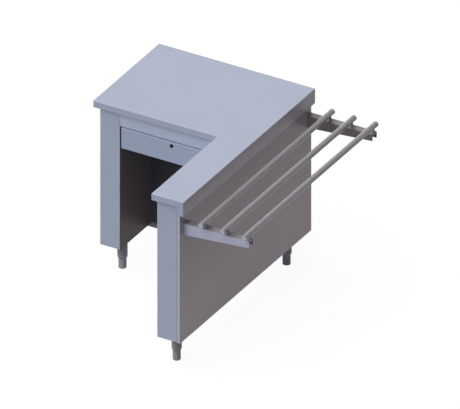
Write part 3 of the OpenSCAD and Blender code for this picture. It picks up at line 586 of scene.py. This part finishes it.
hole = bmesh.ops.create_circle(front, segments=48, radius=lock_hole_r,
                               matrix=at_lock @ Matrix.Rotation(math.radians(45), 4, "Z"))["verts"]
bmesh.ops.bridge_loops(front, edges=around + list({e for v in hole for e in v.link_edges}))
bmesh.ops.recalc_face_normals(front, faces=front.faces[:])
as_sheet(front, sheet)
set_down(front, "drawer_face", drawer_finish, "drawer", "drawer_steel", "drawer_front")
repaint(inside_shade, "front_struts")


# Drawer box. A tray folded from 1.2 mm sheet with welded corners and a narrow rim turned
# inwards, screwed to the front from inside.
tray_rim = 0.008
tray = box_of_faces(box_low, box_high)
mouth = facing(tray, (0, 0, 1))
bmesh.ops.inset_region(tray, faces=mouth, thickness=tray_rim, use_even_offset=True,
                       use_boundary=True)
front_rim = [f for f in facing(tray, (0, 0, 1))
             if f.calc_center_median().y < box_low.y + tray_rim]
bmesh.ops.delete(tray, geom=mouth + front_rim, context="FACES")
round_off(tray, sharp_edges(tray), inner_fold + box_sheet, 4)
as_sheet(tray, box_sheet)
tray_finish = satin_steel("satin_tray", (0.385, 0.410, 0.450), "y", rough=0.38)
set_down(tray, "drawer_tray", tray_finish, "drawer", "drawer_steel", "drawer_box")
repaint(zinc, "drawer_screws")


# Runners. Telescopic slides of zinc plated steel on both sides of the drawer box: an outer
# member on the wall, a middle member, and an inner member on the box.
member_sheet, member_fold = 0.0012, 0.00035
for kind, body in (("outer", "carcass"), ("middle", "runner_middles"), ("inner", "drawer")):
    for side in ("left", "right"):
        node = f"runner_{kind}_{side}"
        low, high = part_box(node)
        web_on_left = (side == "left") != (kind == "inner")
        x_web, x_edge = (low.x, high.x) if web_on_left else (high.x, low.x)
        line = [(x_edge, high.z), (x_web, high.z), (x_web, low.z), (x_edge, low.z)]
        member = bent_sheet(line if web_on_left else line[::-1], "y", low.y, high.y,
                            member_sheet, member_fold)
        as_sheet(member, member_sheet, burr=0.0002)
        set_down(member, f"slide_{kind}_{side}", zinc, body, "zinc_plate", node)


# Lock. A round cam lock in black finish, pushed through the drawer front and held by a nut
# behind it. The key turns the plug and the cam.
def recessed_bar(shape, centre, inward, across, radius, sides, width, height, depth, length,
                 steps=32):
    """Adds a round bar whose end has a recess: a keyway with 4 sides or a socket with 6."""
    inward, across, centre = Vector(inward), Vector(across), Vector(centre)
    up = inward.cross(across)
    frame_at = Matrix((across, up, inward)).transposed().to_4x4()
    frame_at.translation = centre
    ring = bmesh.ops.create_circle(shape, segments=steps, radius=radius, matrix=frame_at)["verts"]
    half = math.pi / sides
    turned = frame_at @ Matrix.Diagonal((width, height, 1, 1)) @ Matrix.Rotation(half, 4, "Z")
    hole = bmesh.ops.create_circle(shape, segments=sides, radius=0.5 / math.cos(half),
                                   matrix=turned)["verts"]
    ring_edges = list({e for v in ring for e in v.link_edges})
    hole_edges = list({e for v in hole for e in v.link_edges})
    bmesh.ops.bridge_loops(shape, edges=ring_edges + hole_edges)
    for edges, way in ((hole_edges, depth), (ring_edges, length)):
        made = bmesh.ops.extrude_edge_only(shape, edges=edges)
        bmesh.ops.translate(shape, verts=new_verts(made), vec=inward * way)
        open_end = [g for g in made["geom"]
                    if isinstance(g, bmesh.types.BMEdge) and len(g.link_faces) == 1]
        bmesh.ops.edgeloop_fill(shape, edges=open_end)


black = bpy.data.materials.new("black_lock")
black.use_nodes = True
nodes, links = black.node_tree.nodes, black.node_tree.links
nodes["Principled BSDF"].inputs["Base Color"].default_value = (0.003, 0.003, 0.004, 1)
nodes["Principled BSDF"].inputs["Specular IOR Level"].default_value = 0.04
cast_place = nodes.new("ShaderNodeTexCoord")
cast = nodes.new("ShaderNodeTexNoise")
cast.inputs["Scale"].default_value = 900
cast_gloss = nodes.new("ShaderNodeMapRange")
cast_gloss.inputs["To Min"].default_value = 0.45
cast_gloss.inputs["To Max"].default_value = 0.60
links.new(cast_place.outputs["Object"], cast.inputs["Vector"])
links.new(cast.outputs["Fac"], cast_gloss.inputs["Value"])
links.new(cast_gloss.outputs["Result"], nodes["Principled BSDF"].inputs["Roughness"])

bore_r, barrel_r, face_r, rim_r = 0.0061, 0.0080, 0.0085, 0.0090
y_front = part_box("drawer_front")[0].y
y_rim = lock_low.y + 0.0008
shape = bmesh.new()
line = [(bore_r, lock_low.y), (face_r, lock_low.y), (rim_r, y_rim), (rim_r, y_front),
        (barrel_r, y_front), (barrel_r, lock_high.y), (bore_r, lock_high.y)]
turn(shape, soften(line, 0.0003), (x_lock, 0, z_lock), "y")
set_down(shape, "lock_body", black, "drawer", "lock_black", "lock_barrel")
plug_low, plug_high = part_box("lock_plug")
shape = bmesh.new()
tail_half, tail_start = 0.003, plug_high.y - 0.0035
recessed_bar(shape, (x_lock, plug_low.y + 0.0002, z_lock), (0, 1, 0), (1, 0, 0), radius=0.0060,
             sides=4, width=0.0020, height=0.0080, depth=0.0040,
             length=plug_high.y - 0.0025 - plug_low.y)
add_plate(shape, Vector((x_lock - tail_half, tail_start, z_lock - tail_half)),
          Vector((x_lock + tail_half, plug_high.y, z_lock + tail_half)))
set_down(shape, "lock_core", black, "lock", "lock_black", "lock_plug")
repaint(zinc, "lock_nut", "lock_cam", "cam_screw")


# Brackets of the tray slide. Each is a channel folded from 2.5 mm sheet, open below and at
# its tip and deeper at the panel, with an end plate that two bolts hold to the wall.
bracket_finish = satin_steel("satin_brackets", (0.545, 0.565, 0.720), "x")
# Painted shade: the far bracket's web gets a darker, warmer and more mirror-like steel than the
# near one, though the two are the same part.
far_web_shade = satin_steel("far_web_painted_shade", (0.400, 0.380, 0.370), "x", rough=0.22, metal=0.80)
# Painted shade: the brackets' tops and inner faces get a darker steel than their outer webs.
bracket_shade = satin_steel("bracket_tops_painted_shade", (0.240, 0.232, 0.238), "x",
                                 rough=0.40, metal=0.10)
bracket_sheet, bracket_burr, tip_height = 0.0025, 0.0004, 0.034
for name, node, web_finish in (("tray_bracket_near", "bracket_near", bracket_finish),
                               ("tray_bracket_far", "bracket_far", far_web_shade)):
    low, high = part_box(node)
    z_uncut = low.z - 0.010
    arm = bent_sheet([(high.y, z_uncut), (high.y, high.z), (low.y, high.z), (low.y, z_uncut)],
                     "x", low.x, high.x, bracket_sheet, inner_fold)
    slope = Vector((high.x - low.x, 0, high.z - tip_height - low.z))
    bmesh.ops.bisect_plane(arm, geom=arm.faces[:] + arm.edges[:] + arm.verts[:], plane_co=low,
                           plane_no=(slope.z, 0, -slope.x), clear_outer=True)
    as_sheet(arm, bracket_sheet, bracket_burr)
    plate_high = Vector((low.x + bracket_sheet, high.y - bracket_sheet, high.z - bracket_sheet))
    add_plate(arm, Vector((low.x, low.y + bracket_sheet, low.z)), plate_high, bracket_burr)
    bracket = set_down(arm, name, bracket_finish, "carcass", "bracket_steel", node)
    turned_side(bracket, bracket_shade, (0, -1, 0), -high.y)
    turned_side(bracket, web_finish, (0, -1, 0), -low.y - bracket_sheet)
    turned_side(bracket, bracket_shade, (0, 0, 1), high.z - inner_fold - bracket_sheet)
repaint(zinc, "bracket_bolts")


# Tubes of the tray slide. Three round tubes, 28 mm across with a 1.5 mm wall, polished along
# their length, each closed at both ends by a welded disc.
tube_finish = satin_steel("polished_tubes", (0.306, 0.289, 0.313), "y", rough=0.27, metal=0.15)
disc_finish = satin_steel("ground_discs", (0.560, 0.580, 0.650), "x", rough=0.34)
tubes = {"tray_tube_inner": "slide_tube_inner", "tray_tube_middle": "slide_tube_middle",
         "tray_tube_outer": "slide_tube_outer"}
tube_bore, tube_outside, tube_burr = 0.0125, 0.0140, 0.0003
welded_disc = [(0, 0.0006), (0.0108, 0.0006), (0.0116, 0.0002), (0.0125, 0), (0.0133, 0.0002),
               (0.0136, 0.0008), (0.0125, 0.0010), (0.0125, 0.0030), (0, 0.0030)]
discs = bmesh.new()
for node, name in tubes.items():
    low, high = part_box(node)
    centre = ((low.x + high.x) / 2, 0, (low.z + high.z) / 2)
    shape = bmesh.new()
    turn(shape, [(tube_bore, low.y), (tube_outside - tube_burr, low.y),
                 (tube_outside, low.y + tube_burr), (tube_outside, high.y - tube_burr),
                 (tube_outside - tube_burr, high.y), (tube_bore, high.y)], centre, "y", 64)
    set_down(shape, name, tube_finish, "carcass", "tube_steel", node)
    for y, inwards in ((low.y, 1), (high.y, -1)):
        turn(discs, [(r, y + inwards * depth) for r, depth in welded_disc], centre, "y", 48)
set_down(discs, "tube_ends", disc_finish, "carcass", "tube_steel", "tube_end_discs")


# Pins under the tubes. Round bar welded to the tube above, and held to the bracket by a
# socket screw and a washer from below.
pins, washers, screws = bmesh.new(), bmesh.new(), bmesh.new()
pin_low, pin_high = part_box("tube_pins")
screw_low, screw_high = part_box("pin_screws")
washer_low, washer_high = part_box("pin_washers")
pin_r, pin_burr, washer_bore, washer_r, screw_r = 0.0050, 0.0004, 0.0028, 0.0075, 0.0025
pin_end = [(0, pin_low.z), (pin_r - pin_burr, pin_low.z), (pin_r, pin_low.z + pin_burr)]
weld_below_tube = [(pin_r, 0.0160), (0.0054, 0.0148), (0.0066, 0.0138), (0, 0.0136)]
weld_start, weld_sunk = 0.0145, 0.0003
washer_line = soften([(washer_bore, washer_low.z), (washer_r, washer_low.z),
                      (washer_r, washer_high.z), (washer_bore, washer_high.z)], 0.0002)
shank_line = [(0, washer_low.z - 0.001), (screw_r, washer_low.z - 0.001),
              (screw_r, screw_high.z - 0.0003), (screw_r - 0.0003, screw_high.z), (0, screw_high.z)]
for node in tubes:
    low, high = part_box(node)
    x, z_tube, tube_r = (low.x + high.x) / 2, (low.z + high.z) / 2, (high.z - low.z) / 2
    pin_line = pin_end + [(r, z_tube - drop) for r, drop in weld_below_tube]
    for y in (pin_low.y + pin_r, pin_high.y - pin_r):
        before = set(pins.verts)
        turn(pins, pin_line, (x, y, 0), "z", 32)
        for v in set(pins.verts) - before:
            under_tube = z_tube - math.sqrt(max(0, tube_r ** 2 - (v.co.x - x) ** 2))
            if v.co.z > z_tube - weld_start:
                v.co.z = max(v.co.z, under_tube + weld_sunk)
        turn(washers, washer_line, (x, y, 0), "z", 32)
        recessed_bar(screws, (x, y, screw_low.z), (0, 0, 1), (1, 0, 0), radius=0.00425, sides=6,
                     width=0.0040, height=0.0040, depth=0.0025, length=washer_low.z - screw_low.z)
        turn(screws, shank_line, (x, y, 0), "z", 24)
set_down(pins, "tube_posts", tube_finish, "carcass", "tube_steel", "tube_pins")
set_down(washers, "post_washers", zinc, "carcass", "zinc_plate", "pin_washers")
set_down(screws, "post_screws", zinc, "carcass", "zinc_plate", "pin_screws")


# Legs. A tube sleeve with a welded cap and stud, bolted to the base pan of the wall, and a
# grey plastic collar pressed into its lower end.
leg_finish = satin_steel("satin_legs", (0.600, 0.575, 0.660), "z", rough=0.30, metal=0, shine=0.10)
plastic = bpy.data.materials.new("grey_collar")
plastic.use_nodes = True
nodes, links = plastic.node_tree.nodes, plastic.node_tree.links
nodes["Principled BSDF"].inputs["Base Color"].default_value = (0.480, 0.460, 0.525, 1)
mould_place = nodes.new("ShaderNodeTexCoord")
mould = nodes.new("ShaderNodeTexNoise")
mould.inputs["Scale"].default_value = 1400
mould_gloss = nodes.new("ShaderNodeMapRange")
mould_gloss.inputs["To Min"].default_value = 0.42
mould_gloss.inputs["To Max"].default_value = 0.60
mould_bump = nodes.new("ShaderNodeBump")
mould_bump.inputs["Strength"].default_value = 0.2
mould_bump.inputs["Distance"].default_value = 0.00005
links.new(mould_place.outputs["Object"], mould.inputs["Vector"])
links.new(mould.outputs["Fac"], mould_gloss.inputs["Value"])
links.new(mould_gloss.outputs["Result"], nodes["Principled BSDF"].inputs["Roughness"])
links.new(mould.outputs["Fac"], mould_bump.inputs["Height"])
links.new(mould_bump.outputs["Normal"], nodes["Principled BSDF"].inputs["Normal"])

feet = ("foot_arm_near", "foot_arm_far", "foot_left_near", "foot_left_far")
sleeves, collars = bmesh.new(), bmesh.new()
z_leg, z_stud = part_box("left_wall_shell")[0].z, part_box("leg_sleeves")[1].z
z_collar, z_taper, z_cap, z_plug = 0.049, 0.061, z_leg - 0.003, 0.081
sleeve_bore, sleeve_r, stud_r, foot_r, stem_bore = 0.0225, 0.0240, 0.0060, 0.0190, 0.00805
sleeve_line = soften([(0, z_cap), (sleeve_bore, z_cap), (sleeve_bore, z_taper),
                      (sleeve_r, z_taper), (sleeve_r, z_leg), (stud_r, z_leg), (stud_r, z_stud),
                      (0, z_stud)], 0.0004)
collar_line = soften([(stem_bore, z_collar), (foot_r, z_collar), (sleeve_r, z_taper),
                      (sleeve_bore, z_taper), (sleeve_bore, z_plug), (stem_bore, z_plug)], 0.0004)
for node in feet:
    low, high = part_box(node)
    centre = ((low.x + high.x) / 2, (low.y + high.y) / 2, 0)
    turn(sleeves, sleeve_line, centre, "z", 64)
    turn(collars, collar_line, centre, "z", 64)
set_down(sleeves, "leg_tubes", leg_finish, "carcass", "leg_steel", "leg_sleeves")
set_down(collars, "leg_bushes", plastic, "carcass", "collar_plastic", "leg_collars")
repaint(zinc, "leg_nuts")


# Adjustable feet. Turned steel with a rounded sole, on a threaded stem that screws in and out
# of the collar to level the counter.
def thread(shape, centre, core, crest, pitch, z0, z1, steps=18):
    """Adds a screw thread: a small ridge that climbs round the bar, one pitch each turn."""
    root = core - 0.0002
    ridge = [shape.verts.new(Vector(centre) + Vector((r, 0, z))) for r, z in (
        (root, z0), (crest, z0 + pitch * 0.4), (root, z0 + pitch * 0.8))]
    foot_of_ridge = shape.faces.new(ridge)
    turns = (z1 - z0 - pitch) / pitch
    bmesh.ops.spin(shape, geom=ridge + foot_of_ridge.edges[:] + [foot_of_ridge], cent=centre,
                   axis=(0, 0, 1), dvec=(0, 0, pitch / steps), angle=math.tau * turns,
                   steps=round(steps * turns), use_merge=False, use_duplicate=False)


z_shoulder, stem_core, stem_crest, stem_pitch = 0.0487, 0.0072, 0.0080, 0.0020
sole_line = [(0, 0), (0.0160, 0), (0.0175, 0.0004), (0.0186, 0.0015), (foot_r, 0.0030),
             (foot_r, z_shoulder - 0.0005), (foot_r - 0.0005, z_shoulder), (stem_core, z_shoulder)]
for node in feet:
    low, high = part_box(node)
    centre = ((low.x + high.x) / 2, (low.y + high.y) / 2, 0)
    foot = bmesh.new()
    stem_line = [(stem_core, high.z - 0.0010), (stem_core - 0.0010, high.z), (0, high.z)]
    turn(foot, sole_line + stem_line, centre, "z", 64)
    thread(foot, centre, stem_core, stem_crest, stem_pitch, z_shoulder + 0.001, high.z - 0.001)
    set_down(foot, f"levelling_{node}", leg_finish, node, "leg_steel", node)
